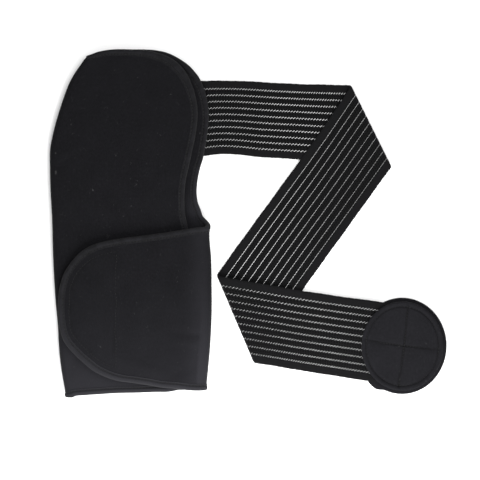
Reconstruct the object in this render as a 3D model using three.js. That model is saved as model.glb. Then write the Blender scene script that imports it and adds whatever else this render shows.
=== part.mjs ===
import * as THREE from "three";
import { mergeVertices } from "three/addons/utils/BufferGeometryUtils.js";

// Single shoulder brace lying flat: millimetres, +Z up, floor at z = 0.
// Sleeve, laid flat
const sleeve_width = 152;
const sleeve_length = 328;
const hollow_height = 9.5;
const neoprene_thickness = 2.6;

// Binding tape
const tape_thickness = 0.7;
const tape_leg = 5.0;

// Hook patch under the flap
const hook_patch_thickness = 1.4;
const hook_patch_margin = 9.5;

// Elastic strap: three straight runs with a fold between each two, headings in degrees from +X
const strap_width = 75;
const strap_thickness = 1.6;
const strap_fold_radius = 2.0;
const strap_ripple = 1.0;
const hidden_length = 33;
const first_run = 194;
const middle_run = 223.5;
const last_run = 159.5;
const first_heading = -2;
const middle_heading = -125;
const last_heading = -9;

// Round pads at the free end
const disc_face_width = 77.4;
const disc_face_height = 84.0;
const disc_face_thickness = 2.2;
const disc_backing_width = 84.0;
const disc_backing_height = 91.0;
const disc_backing_thickness = 2.0;
const disc_rim_width = 3.0;
const disc_rim_height = 0.8;

// Clearances between pieces
const tape_gap = 0.45;
const layer_gap = 0.5;
const strap_gap = 0.3;
const hook_patch_gap = 0.45;
const disc_gap = 0.35;
const floor_gap = 0.1;

// Facet counts
const back_columns = 11;
const fold_columns = 8;
const strap_columns = 4;
const strap_fold_steps = 8;
const disc_segments = 36;
const sleeve_rows = 29;

// Heights that follow from the sizes above
const edge_lift = tape_thickness + tape_gap;
const rim_rise = edge_lift + floor_gap;
const strap_lift = strap_thickness + strap_gap;
const back_rim_top = rim_rise + strap_lift + neoprene_thickness;
const front_rim_under = back_rim_top + 2 * edge_lift + layer_gap;
const front_middle_under = Math.max(neoprene_thickness + hollow_height, front_rim_under);
const flap_clear = Math.max(2 * edge_lift + layer_gap, hook_patch_thickness + 2 * hook_patch_gap);
const column_pitch = sleeve_width / 12;

// Points of the sleeve as shares of its width and length, from its middle
function onSleeve(rows) {
  return rows.map((row) => ({ x: row.u * sleeve_width, y: row.v * sleeve_length }));
}

// Left side of the sleeve seen from above, from hem to the top of the curved dart seam
const left_side = onSleeve([
  { u: -0.398, v: -0.5 },
  { u: -0.424, v: -0.433 },
  { u: -0.441, v: -0.373 },
  { u: -0.451, v: -0.296 },
  { u: -0.467, v: -0.212 },
  { u: -0.48, v: -0.102 },
  { u: -0.487, v: 0.012 },
  { u: -0.497, v: 0.095 },
  { u: -0.5, v: 0.16 },
  { u: -0.5, v: 0.204 },
  { u: -0.493, v: 0.23 },
  { u: -0.47, v: 0.277 },
  { u: -0.447, v: 0.314 },
  { u: -0.418, v: 0.355 },
  { u: -0.382, v: 0.399 },
  { u: -0.345, v: 0.43 },
  { u: -0.306, v: 0.456 },
  { u: -0.257, v: 0.492 },
]);

// Right folded side, from hem to the armpit
const right_side = onSleeve([
  { u: 0.467, v: -0.488 },
  { u: 0.48, v: -0.425 },
  { u: 0.493, v: -0.358 },
  { u: 0.503, v: -0.267 },
  { u: 0.503, v: -0.175 },
  { u: 0.5, v: -0.102 },
  { u: 0.49, v: -0.046 },
  { u: 0.49, v: 0.038 },
]);

// Outer edge of the back layer, from the top of the seam to the armpit
const back_edge = onSleeve([
  { u: -0.257, v: 0.482 },
  { u: -0.211, v: 0.491 },
  { u: -0.155, v: 0.497 },
  { u: -0.089, v: 0.5 },
  { u: -0.01, v: 0.499 },
  { u: 0.069, v: 0.499 },
  { u: 0.148, v: 0.497 },
  { u: 0.227, v: 0.489 },
  { u: 0.306, v: 0.471 },
  { u: 0.378, v: 0.445 },
  { u: 0.434, v: 0.41 },
  { u: 0.467, v: 0.369 },
  { u: 0.484, v: 0.326 },
  { u: 0.482, v: 0.284 },
  { u: 0.47, v: 0.238 },
  { u: 0.454, v: 0.195 },
  { u: 0.429, v: 0.155 },
  { u: 0.413, v: 0.117 },
  { u: 0.409, v: 0.085 },
  { u: 0.418, v: 0.056 },
  { u: 0.434, v: 0.038 },
]);

// Edge of the closure flap, from the armpit round to the hem
const flap_edge = onSleeve([
  { u: 0.401, v: -0.014 },
  { u: 0.322, v: -0.02 },
  { u: 0.24, v: -0.026 },
  { u: 0.151, v: -0.032 },
  { u: 0.053, v: -0.038 },
  { u: -0.053, v: -0.044 },
  { u: -0.138, v: -0.051 },
  { u: -0.217, v: -0.061 },
  { u: -0.273, v: -0.073 },
  { u: -0.322, v: -0.091 },
  { u: -0.368, v: -0.116 },
  { u: -0.405, v: -0.143 },
  { u: -0.428, v: -0.174 },
  { u: -0.441, v: -0.207 },
  { u: -0.444, v: -0.241 },
  { u: -0.441, v: -0.274 },
  { u: -0.431, v: -0.306 },
  { u: -0.411, v: -0.334 },
  { u: -0.378, v: -0.357 },
  { u: -0.332, v: -0.38 },
  { u: -0.28, v: -0.402 },
  { u: -0.22, v: -0.424 },
  { u: -0.155, v: -0.439 },
  { u: -0.076, v: -0.451 },
  { u: 0.02, v: -0.457 },
  { u: 0.105, v: -0.463 },
  { u: 0.191, v: -0.47 },
  { u: 0.276, v: -0.473 },
  { u: 0.362, v: -0.478 },
]);

// Hem of the back layer, right to left, and of the front layer, left to right
const back_hem = onSleeve([
  { u: 0.362, v: -0.48 },
  { u: 0.257, v: -0.481 },
  { u: 0.151, v: -0.482 },
  { u: 0.039, v: -0.484 },
  { u: -0.072, v: -0.485 },
  { u: -0.178, v: -0.488 },
  { u: -0.27, v: -0.491 },
  { u: -0.349, v: -0.497 },
]);
const front_hem = onSleeve([
  { u: -0.349, v: -0.498 },
  { u: -0.27, v: -0.493 },
  { u: -0.178, v: -0.49 },
  { u: -0.072, v: -0.487 },
  { u: 0.039, v: -0.486 },
  { u: 0.151, v: -0.484 },
  { u: 0.257, v: -0.482 },
]);

// Free edge of the front layer, from the hem up under the flap and over the cap
const front_edge = onSleeve([
  { u: 0.319, v: -0.473 },
  { u: 0.355, v: -0.45 },
  { u: 0.368, v: -0.421 },
  { u: 0.368, v: -0.378 },
  { u: 0.368, v: -0.335 },
  { u: 0.368, v: -0.293 },
  { u: 0.368, v: -0.25 },
  { u: 0.368, v: -0.207 },
  { u: 0.368, v: -0.165 },
  { u: 0.368, v: -0.122 },
  { u: 0.368, v: -0.082 },
  { u: 0.365, v: -0.043 },
  { u: 0.352, v: -0.006 },
  { u: 0.337, v: 0.03 },
  { u: 0.334, v: 0.062 },
  { u: 0.336, v: 0.095 },
  { u: 0.345, v: 0.128 },
  { u: 0.362, v: 0.162 },
  { u: 0.378, v: 0.197 },
  { u: 0.395, v: 0.233 },
  { u: 0.409, v: 0.27 },
  { u: 0.416, v: 0.306 },
  { u: 0.411, v: 0.345 },
  { u: 0.403, v: 0.364 },
  { u: 0.391, v: 0.383 },
  { u: 0.361, v: 0.418 },
  { u: 0.312, v: 0.45 },
  { u: 0.253, v: 0.472 },
  { u: 0.178, v: 0.486 },
  { u: 0.099, v: 0.495 },
  { u: 0.02, v: 0.497 },
  { u: -0.059, v: 0.498 },
  { u: -0.138, v: 0.496 },
  { u: -0.211, v: 0.489 },
  { u: -0.257, v: 0.48 },
]);

// Straight side of the hook patch, as a share of the sleeve's width
const hook_patch_side = -0.08 * sleeve_width;

// Elastic strap: t is the share of the run, near and far are its two edges as shares of its width,
// turn goes from square across the run to along the crease, rise is a share of the height named after it
const first_stations = [
  { t: 0, near: 0.48, far: 0.485, turn: 0, rise: 0 },
  { t: 0.09, near: 0.485, far: 0.475, turn: 0, rise: 0 },
  { t: 0.18, near: 0.49, far: 0.463, turn: 0, rise: 0 },
  { t: 0.235, near: 0.497, far: 0.437, turn: 0, rise: 0.45 },
  { t: 0.285, near: 0.5, far: 0.423, turn: 0.03, rise: 1 },
  { t: 0.365, near: 0.504, far: 0.426, turn: 0.08, rise: 1 },
  { t: 0.46, near: 0.502, far: 0.444, turn: 0.16, rise: 0.2 },
  { t: 0.55, near: 0.496, far: 0.452, turn: 0.26, rise: 0.8 },
  { t: 0.64, near: 0.493, far: 0.457, turn: 0.38, rise: 0.5 },
  { t: 0.74, near: 0.493, far: 0.468, turn: 0.58, rise: 0 },
  { t: 0.87, near: 0.497, far: 0.482, turn: 0.82, rise: 0 },
  { t: 1, near: 0.5, far: 0.5, turn: 1, rise: 0 },
];
const middle_stations = [
  { t: 0, near: 0.49, far: 0.505, turn: 0, rise: 1 },
  { t: 0.09, near: 0.485, far: 0.502, turn: 0.09, rise: 0.82 },
  { t: 0.19, near: 0.48, far: 0.498, turn: 0.19, rise: 0.54 },
  { t: 0.29, near: 0.48, far: 0.495, turn: 0.29, rise: 0.5 },
  { t: 0.37, near: 0.482, far: 0.492, turn: 0.37, rise: 0.4 },
  { t: 0.45, near: 0.487, far: 0.488, turn: 0.45, rise: 0.18 },
  { t: 0.54, near: 0.492, far: 0.485, turn: 0.54, rise: 0 },
  { t: 0.69, near: 0.5, far: 0.482, turn: 0.69, rise: 0 },
  { t: 0.85, near: 0.508, far: 0.485, turn: 0.85, rise: 0 },
  { t: 1, near: 0.512, far: 0.492, turn: 1, rise: 0 },
];
const last_stations = [
  { t: 0, near: 0.505, far: 0.5, turn: 0, rise: 1 },
  { t: 0.1, near: 0.5, far: 0.5, turn: 0.14, rise: 0.78 },
  { t: 0.23, near: 0.495, far: 0.502, turn: 0.36, rise: 0.5 },
  { t: 0.36, near: 0.49, far: 0.505, turn: 0.58, rise: 0.3 },
  { t: 0.49, near: 0.492, far: 0.505, turn: 0.76, rise: 0.1 },
  { t: 0.62, near: 0.496, far: 0.505, turn: 0.9, rise: 0 },
  { t: 0.75, near: 0.503, far: 0.504, turn: 1, rise: 0 },
  { t: 0.88, near: 0.508, far: 0.503, turn: 1, rise: 0 },
  { t: 1, near: 0.51, far: 0.5, turn: 1, rise: 0 },
];

// Unit vector at an angle in degrees from +X
function heading(degrees) {
  const angle = (degrees * Math.PI) / 180;
  return new THREE.Vector2(Math.cos(angle), Math.sin(angle));
}

// Middle line of the strap: it starts hidden under the back layer
const way_one = heading(first_heading);
const way_two = heading(middle_heading);
const way_three = heading(last_heading);
const strap_start = new THREE.Vector2(0.434 * sleeve_width - hidden_length, 0.301 * sleeve_length);
const crease_one = strap_start.clone().addScaledVector(way_one, first_run);
const crease_two = crease_one.clone().addScaledVector(way_two, middle_run);
const disc_centre = crease_two.clone().addScaledVector(way_three, last_run);
const strap_low = strap_start.y - strap_width / 2;

// Value of column x at height y, smooth between the rows
function sideAt(rows, y) {
  let k = 0;
  while (k < rows.length - 2 && y > rows[k + 1].y) {
    k += 1;
  }
  const slope = (i) => {
    const a = rows[Math.max(i - 1, 0)];
    const b = rows[Math.min(i + 1, rows.length - 1)];
    return (b.x - a.x) / (b.y - a.y);
  };
  const p = rows[k];
  const q = rows[k + 1];
  const h = q.y - p.y;
  if (y < p.y) {
    return p.x + slope(k) * (y - p.y);
  }
  if (y > q.y) {
    return q.x + slope(k + 1) * (y - q.y);
  }
  const t = (y - p.y) / h;
  const a = 2 * t ** 3 - 3 * t ** 2 + 1;
  const b = t ** 3 - 2 * t ** 2 + t;
  const c = t ** 3 - t ** 2;
  return a * p.x + b * h * slope(k) + (1 - a) * q.x + c * h * slope(k + 1);
}

// Smooth step from 0 at a to 1 at b
function ramp(a, b, v) {
  const k = Math.min(Math.max((v - a) / (b - a), 0), 1);
  return k * k * (3 - 2 * k);
}

// Middle height of the back layer: flat on the floor, raised at its bound edges and over the strap
function backHeight(x, y) {
  const u = x / sleeve_width;
  const v = y / sleeve_length;
  const hem = ramp(-0.34, -0.457, v);
  const side = ramp(0.105, 0.368, u) * ramp(-0.107, 0.015, v);
  const top = ramp(0.274, 0.451, v);
  const raised = 1 - (1 - hem) * (1 - side) * (1 - top);
  const from_left = ramp(strap_start.x - 0.31 * sleeve_width, strap_start.x - 0.05 * sleeve_width, x);
  const from_below = ramp(strap_low - 0.15 * sleeve_length, strap_low - 0.015 * sleeve_length, y);
  return rim_rise * raised + strap_lift * from_left * from_below + neoprene_thickness / 2;
}

// Middle height of the front layer: domed over the hollow, lower towards the cap's edges
function frontHeight(x, y) {
  const across = 1 - 0.6 * ramp(0.225, 0.525, Math.abs(x / sleeve_width));
  const bulge = across * (1 - ramp(0.061, 0.457, y / sleeve_length));
  const under = front_rim_under + (front_middle_under - front_rim_under) * bulge;
  return under + neoprene_thickness / 2;
}
function flapHeight(x, y) {
  return frontHeight(x, y) + neoprene_thickness + flap_clear;
}

// Where the folds of the sleeve lie on the row at y
const armpit_row = 0.061 * sleeve_length;
function rowOf(y) {
  const left = sideAt(left_side, y);
  const right = sideAt(right_side, Math.min(y, right_side[right_side.length - 1].y));
  const guess = (neoprene_thickness + hollow_height) / 2;
  let left_x = left + guess;
  let right_x = right - guess;
  let left_r = 0;
  let right_r = 0;
  for (let k = 0; k < 4; k += 1) {
    left_r = (frontHeight(left_x, y) - backHeight(left_x, y)) / 2;
    right_r = (flapHeight(right_x, y) - backHeight(right_x, y)) / 2;
    left_x = left + neoprene_thickness / 2 + left_r;
    right_x = right - neoprene_thickness / 2 - right_r;
  }
  const back_start = (Math.PI * left_r) / 2;
  const back_end = back_start + right_x - left_x;
  const flap_start = back_end + Math.PI * right_r;
  return { left_x, left_r, right_x, right_r, back_start, back_end, flap_start };
}

// Middle of the neoprene sheet: s runs from the left fold, + over the back layer, y along the arm
function sheetPoint(s, y) {
  const row = rowOf(y);
  if (Math.abs(s) <= row.back_start) {
    const low = backHeight(row.left_x, y);
    const turn = s / row.left_r;
    const z = low + row.left_r * (1 - Math.sin(turn));
    return new THREE.Vector3(row.left_x - row.left_r * Math.cos(turn), y, z);
  }
  if (s < 0) {
    const x = row.left_x - s - row.back_start;
    return new THREE.Vector3(x, y, frontHeight(x, y));
  }
  if (s <= row.back_end || y > armpit_row) {
    const x = row.left_x + s - row.back_start;
    return new THREE.Vector3(x, y, backHeight(x, y));
  }
  if (s <= row.flap_start) {
    const low = backHeight(row.right_x, y);
    const turn = (s - row.back_end) / row.right_r;
    const x = row.right_x + row.right_r * Math.sin(turn);
    return new THREE.Vector3(x, y, low + row.right_r * (1 - Math.cos(turn)));
  }
  const x = row.right_x - (s - row.flap_start);
  return new THREE.Vector3(x, y, flapHeight(x, y));
}

// Point off the middle of the sheet, towards the hollow when h is above zero
function offSheet(s, y, h) {
  const d = 0.4;
  const along_s = sheetPoint(s + d, y).sub(sheetPoint(s - d, y));
  const along_y = sheetPoint(s, y + d).sub(sheetPoint(s, y - d));
  const normal = along_s.cross(along_y).normalize();
  return sheetPoint(s, y).addScaledVector(normal, h);
}

// Column numbers: -1 to 1 is the left fold, then the back layer, the right fold and the flap
const fold_at = 1 + back_columns;
function columnOf(s, y) {
  const row = rowOf(y);
  if (s < -row.back_start) {
    return -1 + (s + row.back_start) / column_pitch;
  }
  if (s <= row.back_start) {
    return s / row.back_start;
  }
  if (s <= row.back_end) {
    return 1 + (back_columns * (s - row.back_start)) / (row.back_end - row.back_start);
  }
  if (s <= row.flap_start) {
    return fold_at + (2 * (s - row.back_end)) / (row.flap_start - row.back_end);
  }
  return fold_at + 2 + (s - row.flap_start) / column_pitch;
}
function stretchOf(column, y) {
  const row = rowOf(y);
  if (column < -1) {
    return -row.back_start + (column + 1) * column_pitch;
  }
  if (column <= 1) {
    return column * row.back_start;
  }
  if (column <= fold_at) {
    return row.back_start + ((column - 1) * (row.back_end - row.back_start)) / back_columns;
  }
  if (column <= fold_at + 2) {
    return row.back_end + ((column - fold_at) * (row.flap_start - row.back_end)) / 2;
  }
  return row.flap_start + (column - fold_at - 2) * column_pitch;
}

// Outline of the finished sleeve on the flattened sheet, one closed run of points: top of the dart seam,
// back layer, armpit, flap, right fold's hem, back hem, left fold's hem, front hem and front layer
function sleeveOutline() {
  const run = [];
  const onBack = (p) => {
    const row = rowOf(p.y);
    run.push({ s: row.back_start + p.x - row.left_x, y: p.y });
  };
  const onFlap = (p) => {
    const row = rowOf(p.y);
    run.push({ s: row.flap_start + row.right_x - p.x, y: p.y });
  };
  const onFront = (p) => {
    const row = rowOf(p.y);
    run.push({ s: -row.back_start - (p.x - row.left_x), y: p.y });
  };
  run.push({ s: 0, y: 0.4665 * sleeve_length });
  back_edge.forEach(onBack);
  for (let k = 0; k <= fold_columns; k += 1) {
    const y = sleeve_length * (0.02 - 0.032 * (1 - (1 - k / fold_columns) ** 2));
    run.push({ s: stretchOf(fold_at + (2 * k) / fold_columns, y), y });
  }
  flap_edge.forEach(onFlap);
  for (let k = fold_columns; k >= 0; k -= 1) {
    const y = -0.4793 * sleeve_length;
    run.push({ s: stretchOf(fold_at + (2 * k) / fold_columns, y), y });
  }
  back_hem.forEach(onBack);
  for (let k = 0; k <= fold_columns; k += 1) {
    const y = -0.5 * sleeve_length;
    run.push({ s: stretchOf(1 - (2 * k) / fold_columns, y), y });
  }
  front_hem.forEach(onFront);
  front_edge.forEach(onFront);
  return run;
}

// Run moved inwards by the given distance, each point along the bisector of its two sides
function inset(run, distance) {
  return run.map((p, i) => {
    const a = run[(i + run.length - 1) % run.length];
    const b = run[(i + 1) % run.length];
    const u = new THREE.Vector2(p.s - a.s, p.y - a.y).normalize();
    const v = new THREE.Vector2(b.s - p.s, b.y - p.y).normalize();
    const n = new THREE.Vector2(u.y + v.y, -u.x - v.x).normalize();
    const reach = Math.max(n.x * u.y - n.y * u.x, 0.6);
    return { s: p.s + (n.x * distance) / reach, y: p.y + (n.y * distance) / reach };
  });
}

// Part of a flat outline inside one cell, by cutting with its four sides
function clipToCell(outline, low_c, high_c, low_y, high_y) {
  const sides = [
    { key: "c", at: low_c, sign: 1 },
    { key: "c", at: high_c, sign: -1 },
    { key: "y", at: low_y, sign: 1 },
    { key: "y", at: high_y, sign: -1 },
  ];
  let kept = outline;
  for (const side of sides) {
    const next = [];
    kept.forEach((p, i) => {
      const q = kept[(i + 1) % kept.length];
      const dp = side.sign * (p[side.key] - side.at);
      const dq = side.sign * (q[side.key] - side.at);
      if (dp >= 0) {
        next.push(p);
      }
      if (dp > 0 !== dq > 0 && dp !== 0 && dq !== 0) {
        const t = dp / (dp - dq);
        const cut = { c: p.c + (q.c - p.c) * t, y: p.y + (q.y - p.y) * t };
        cut[side.key] = side.at;
        next.push(cut);
      }
    });
    kept = next;
  }
  return kept;
}

// Closed solid of a cloth sheet: flat outline cut into cells, then placed by place(c, y, h)
function clothSolid(outline, columns, rows, place, thickness) {
  const snap = (v, lines, reach) => {
    const near = lines.find((l) => Math.abs(l - v) < reach);
    return near === undefined ? v : near;
  };
  const reach_c = (columns[1] - columns[0]) * 0.05;
  const snapped = outline.map((p) => ({ c: snap(p.c, columns, reach_c), y: snap(p.y, rows, 0.4) }));
  const flat = THREE.ShapeUtils.isClockWise(snapped.map((p) => new THREE.Vector2(p.c, p.y)))
    ? snapped.reverse()
    : snapped;
  const points = [];
  const index = new Map();
  const numberOf = (p) => {
    const key = Math.round(p.c * 1e4) + "," + Math.round(p.y * 1e4);
    if (!index.has(key)) {
      index.set(key, points.length);
      points.push(p);
    }
    return index.get(key);
  };
  const faces = [];
  for (let i = 0; i < columns.length - 1; i += 1) {
    for (let j = 0; j < rows.length - 1; j += 1) {
      const piece = clipToCell(flat, columns[i], columns[i + 1], rows[j], rows[j + 1]);
      const ids = piece.map(numberOf).filter((id, k, all) => id !== all[(k + 1) % all.length]);
      if (ids.length < 3) {
        continue;
      }
      const shape = ids.map((id) => new THREE.Vector2(points[id].c, points[id].y));
      if (Math.abs(THREE.ShapeUtils.area(shape)) < 1e-7) {
        continue;
      }
      for (const [a, b, c] of THREE.ShapeUtils.triangulateShape(shape, [])) {
        const corners = [a, b, c].map((k) => shape[k]);
        if (THREE.ShapeUtils.area(corners) > 0) {
          faces.push([ids[a], ids[b], ids[c]]);
        } else {
          faces.push([ids[a], ids[c], ids[b]]);
        }
      }
    }
  }
  const sides = new Map();
  for (const [a, b, c] of faces) {
    for (const [u, v] of [[a, b], [b, c], [c, a]]) {
      if (sides.has(v + "," + u)) {
        sides.delete(v + "," + u);
      } else {
        sides.set(u + "," + v, [u, v]);
      }
    }
  }
  const half = thickness / 2;
  const positions = [];
  points.forEach((p) => positions.push(...place(p.c, p.y, half).toArray()));
  points.forEach((p) => positions.push(...place(p.c, p.y, -half).toArray()));
  const n = points.length;
  const triangles = [];
  faces.forEach(([a, b, c]) => triangles.push(a, b, c, n + a, n + c, n + b));
  for (const [a, b] of sides.values()) {
    triangles.push(n + a, n + b, b, n + a, b, a);
  }
  const geometry = new THREE.BufferGeometry();
  geometry.setAttribute("position", new THREE.Float32BufferAttribute(positions, 3));
  geometry.setIndex(triangles);
  return geometry;
}

// Sides of a solid swept through rings of points; its two ends are left open
function sweepSolid(rings) {
  const size = rings[0].length;
  const positions = [];
  rings.forEach((ring) => ring.forEach((p) => positions.push(p.x, p.y, p.z)));
  const triangles = [];
  for (let i = 0; i < rings.length - 1; i += 1) {
    const a = i * size;
    const b = a + size;
    for (let k = 0; k < size; k += 1) {
      const m = (k + 1) % size;
      triangles.push(a + k, b + k, b + m, a + k, b + m, a + m);
    }
  }
  return { positions, triangles, size, last_ring: (rings.length - 1) * size };
}

// Evenly spaced grid lines from low to high
function lines(low, high, count) {
  return Array.from({ length: count + 1 }, (_, k) => low + ((high - low) * k) / count);
}

// Neoprene sleeve: back layer, left fold, front layer, right fold and closure flap in one sheet
function bodyShell() {
  const outline = inset(sleeveOutline(), edge_lift).map((p) => ({ c: columnOf(p.s, p.y), y: p.y }));
  const columns = [];
  for (let k = -14; k < -1; k += 1) {
    columns.push(k);
  }
  for (let k = 0; k < fold_columns; k += 1) {
    columns.push(-1 + (2 * k) / fold_columns);
  }
  for (let k = 0; k < back_columns; k += 1) {
    columns.push(1 + k);
  }
  for (let k = 0; k < fold_columns; k += 1) {
    columns.push(fold_at + (2 * k) / fold_columns);
  }
  for (let k = 0; k < 14; k += 1) {
    columns.push(fold_at + 2 + k);
  }
  const place = (c, y, h) => offSheet(stretchOf(c, y), y, h);
  const reach = 0.506 * sleeve_length;
  return clothSolid(outline, columns, lines(-reach, reach, sleeve_rows), place, neoprene_thickness);
}

// Binding tape folded round the free edge of the sleeve, from one side of the seam to the other
function edgeBinding() {
  const run = sleeveOutline();
  const deep = inset(run, 1);
  const near = neoprene_thickness / 2 + tape_gap;
  const far = near + tape_thickness;
  const leg = edge_lift + tape_leg;
  const section = [
    { d: leg, h: far },
    { d: leg, h: near },
    { d: tape_thickness, h: near },
    { d: tape_thickness, h: -near },
    { d: leg, h: -near },
    { d: leg, h: -far },
    { d: tape_thickness, h: -far },
    { d: 0, h: -near },
    { d: 0, h: near },
    { d: tape_thickness, h: far },
  ];
  const rings = [];
  for (let i = 2; i < run.length - 1; i += 1) {
    const p = run[i];
    const step = { s: deep[i].s - p.s, y: deep[i].y - p.y };
    rings.push(section.map(({ d, h }) => offSheet(p.s + step.s * d, p.y + step.y * d, h)));
  }
  const { positions, triangles, last_ring } = sweepSolid(rings);
  const cap = [[0, 1, 9], [1, 2, 9], [2, 8, 9], [2, 3, 8], [3, 7, 8], [3, 4, 7], [4, 6, 7], [4, 5, 6]];
  cap.forEach(([a, b, c]) => {
    triangles.push(a, b, c);
    triangles.push(last_ring + a, last_ring + c, last_ring + b);
  });
  return outward(positions, triangles);
}

// Indexed geometry with its faces turned outwards
function outward(positions, triangles) {
  let volume = 0;
  const at = (k) => new THREE.Vector3().fromArray(positions, 3 * k);
  for (let i = 0; i < triangles.length; i += 3) {
    volume += at(triangles[i]).dot(at(triangles[i + 1]).cross(at(triangles[i + 2])));
  }
  const faces = [];
  for (let i = 0; i < triangles.length; i += 3) {
    const [a, b, c] = triangles.slice(i, i + 3);
    faces.push(...(volume > 0 ? [a, b, c] : [a, c, b]));
  }
  const geometry = new THREE.BufferGeometry();
  geometry.setAttribute("position", new THREE.Float32BufferAttribute(positions, 3));
  geometry.setIndex(faces);
  return geometry;
}

// Hook patch lying under the end of the flap: the flap's outline, drawn in and cut straight
function hookPatch() {
  const flap = inset(flap_edge.map((p) => ({ s: -p.x, y: p.y })), hook_patch_margin);
  const whole = flap.map((p) => ({ c: -p.s, y: p.y }));
  const far = sleeve_length;
  const outline = clipToCell(whole, -far, hook_patch_side, -far, far);
  const low = new THREE.Box2().setFromPoints(outline.map((p) => new THREE.Vector2(p.c, p.y)));
  const under = neoprene_thickness / 2 + hook_patch_gap + hook_patch_thickness / 2;
  const place = (x, y, h) => new THREE.Vector3(x, y, flapHeight(x, y) - under + h);
  const columns = lines(low.min.x - 1, low.max.x + 1, 4);
  return clothSolid(outline, columns, lines(low.min.y - 1, low.max.y + 1, 9), place, hook_patch_thickness);
}

// Middle height of the strap on its lowest layer, height of a fold, and height of the lower pad's top
const half_strap = strap_thickness / 2;
const fold_height = 2 * strap_fold_radius;
const over_backing = disc_backing_thickness + strap_gap;

// The strap's two edges along one straight run, one pair of points for each row of the table
function strapRun(rows, from, way, length, line_from, line_to, heightOf) {
  return rows.map((row) => {
    const line = line_from.clone().lerp(line_to, row.turn).normalize();
    const span = strap_width / Math.abs(way.cross(line));
    const centre = from.clone().addScaledVector(way, row.t * length);
    const left = centre.clone().addScaledVector(line, span * row.near);
    const right = centre.clone().addScaledVector(line, -span * row.far);
    const z = heightOf(row.rise);
    return { left: new THREE.Vector3(left.x, left.y, z), right: new THREE.Vector3(right.x, right.y, z) };
  });
}

// The strap's two edges round a fold, from the end of one run up to the start of the next
function strapFold(from, to, out) {
  const stations = [];
  for (let k = 1; k < strap_fold_steps; k += 1) {
    const share = k / strap_fold_steps;
    const push = out.clone().multiplyScalar(strap_fold_radius * Math.sin(Math.PI * share));
    const shift = new THREE.Vector3(push.x, push.y, 0);
    const z = half_strap + strap_fold_radius * (1 - Math.cos(Math.PI * share));
    const left = from.left.clone().lerp(to.left, share).add(shift);
    const right = from.right.clone().lerp(to.right, share).add(shift);
    stations.push({ left: left.setZ(z), right: right.setZ(z) });
  }
  return stations;
}

// Elastic strap, folded over at its two creases
function elasticStrap() {
  const creaseLine = (a, b) => a.clone().add(b).normalize().multiplyScalar(-1);
  const line_one = creaseLine(way_one, way_two);
  const line_two = creaseLine(way_two, way_three);
  const square_start = new THREE.Vector2(-way_one.y, way_one.x);
  const square_end = new THREE.Vector2(-way_three.y, way_three.x);
  const stopShort = (way, line) => (strap_fold_radius + half_strap) / Math.abs(way.cross(line));
  const skip_two = stopShort(way_two, line_one);
  const skip_three = stopShort(way_three, line_two);
  const first_length = first_run - stopShort(way_one, line_one);
  const middle_length = middle_run - skip_two - stopShort(way_two, line_two);
  const last_length = last_run - skip_three;
  const middle_start = crease_one.clone().addScaledVector(way_two, skip_two);
  const last_start = crease_two.clone().addScaledVector(way_three, skip_three);

  const lowHeight = (rise) => half_strap + rise * strap_ripple;
  const middleHeight = (rise) => half_strap + rise * fold_height;
  const lastHeight = (rise) => half_strap + over_backing + rise * (fold_height - over_backing);
  const first = strapRun(
    first_stations, strap_start, way_one, first_length, square_start, line_one, lowHeight);
  const middle = strapRun(
    middle_stations, middle_start, way_two, middle_length, line_one, line_two, middleHeight);
  const last = strapRun(
    last_stations, last_start, way_three, last_length, line_two, square_end, lastHeight);
  const out_one = new THREE.Vector2(line_one.y, -line_one.x);
  const out_two = new THREE.Vector2(-line_two.y, line_two.x);
  const stations = [
    ...first,
    ...strapFold(first[first.length - 1], middle[0], out_one),
    ...middle,
    ...strapFold(middle[middle.length - 1], last[0], out_two),
    ...last,
  ];

  const rings = stations.map((station, i) => {
    const before = stations[Math.max(i - 1, 0)];
    const after = stations[Math.min(i + 1, stations.length - 1)];
    const ring_top = [];
    const ring_low = [];
    for (let k = 0; k <= strap_columns; k += 1) {
      const f = k / strap_columns;
      const point = station.left.clone().lerp(station.right, f);
      const ahead = after.left.clone().lerp(after.right, f);
      ahead.sub(before.left.clone().lerp(before.right, f));
      const across = station.right.clone().sub(station.left);
      const normal = ahead.cross(across).normalize();
      ring_top.push(point.clone().addScaledVector(normal, -half_strap));
      ring_low.push(point.clone().addScaledVector(normal, half_strap));
    }
    return [...ring_top, ...ring_low.reverse()];
  });
  const { positions, triangles, size, last_ring } = sweepSolid(rings);
  for (let k = 0; k < strap_columns; k += 1) {
    const [a, b, c, d] = [k, k + 1, size - 2 - k, size - 1 - k];
    triangles.push(a, b, c, a, c, d);
    triangles.push(last_ring + a, last_ring + c, last_ring + b);
    triangles.push(last_ring + a, last_ring + d, last_ring + c);
  }
  return outward(positions, triangles);
}

// Round pad turned from a profile of radius and height, then stretched to its width and height
function discSolid(profile, width, height, drop) {
  const outline = profile.map((p) => new THREE.Vector2(p.r, p.z));
  const lathe = new THREE.LatheGeometry(outline, disc_segments);
  lathe.rotateX(Math.PI / 2);
  lathe.scale(width / 2, height / 2, 1);
  lathe.translate(disc_centre.x, disc_centre.y, 0);
  const position = lathe.getAttribute("position");
  for (let i = 0; i < position.count; i += 1) {
    position.setZ(i, position.getZ(i) - drop(position.getX(i)));
  }
  lathe.deleteAttribute("normal");
  lathe.deleteAttribute("uv");
  const merged = mergeVertices(lathe, 1e-3);
  const index = merged.getIndex().array;
  const triangles = [];
  for (let i = 0; i < index.length; i += 3) {
    const [a, b, c] = index.slice(i, i + 3);
    if (a !== b && b !== c && c !== a) {
      triangles.push(a, b, c);
    }
  }
  return outward([...merged.getAttribute("position").array], triangles);
}

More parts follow.
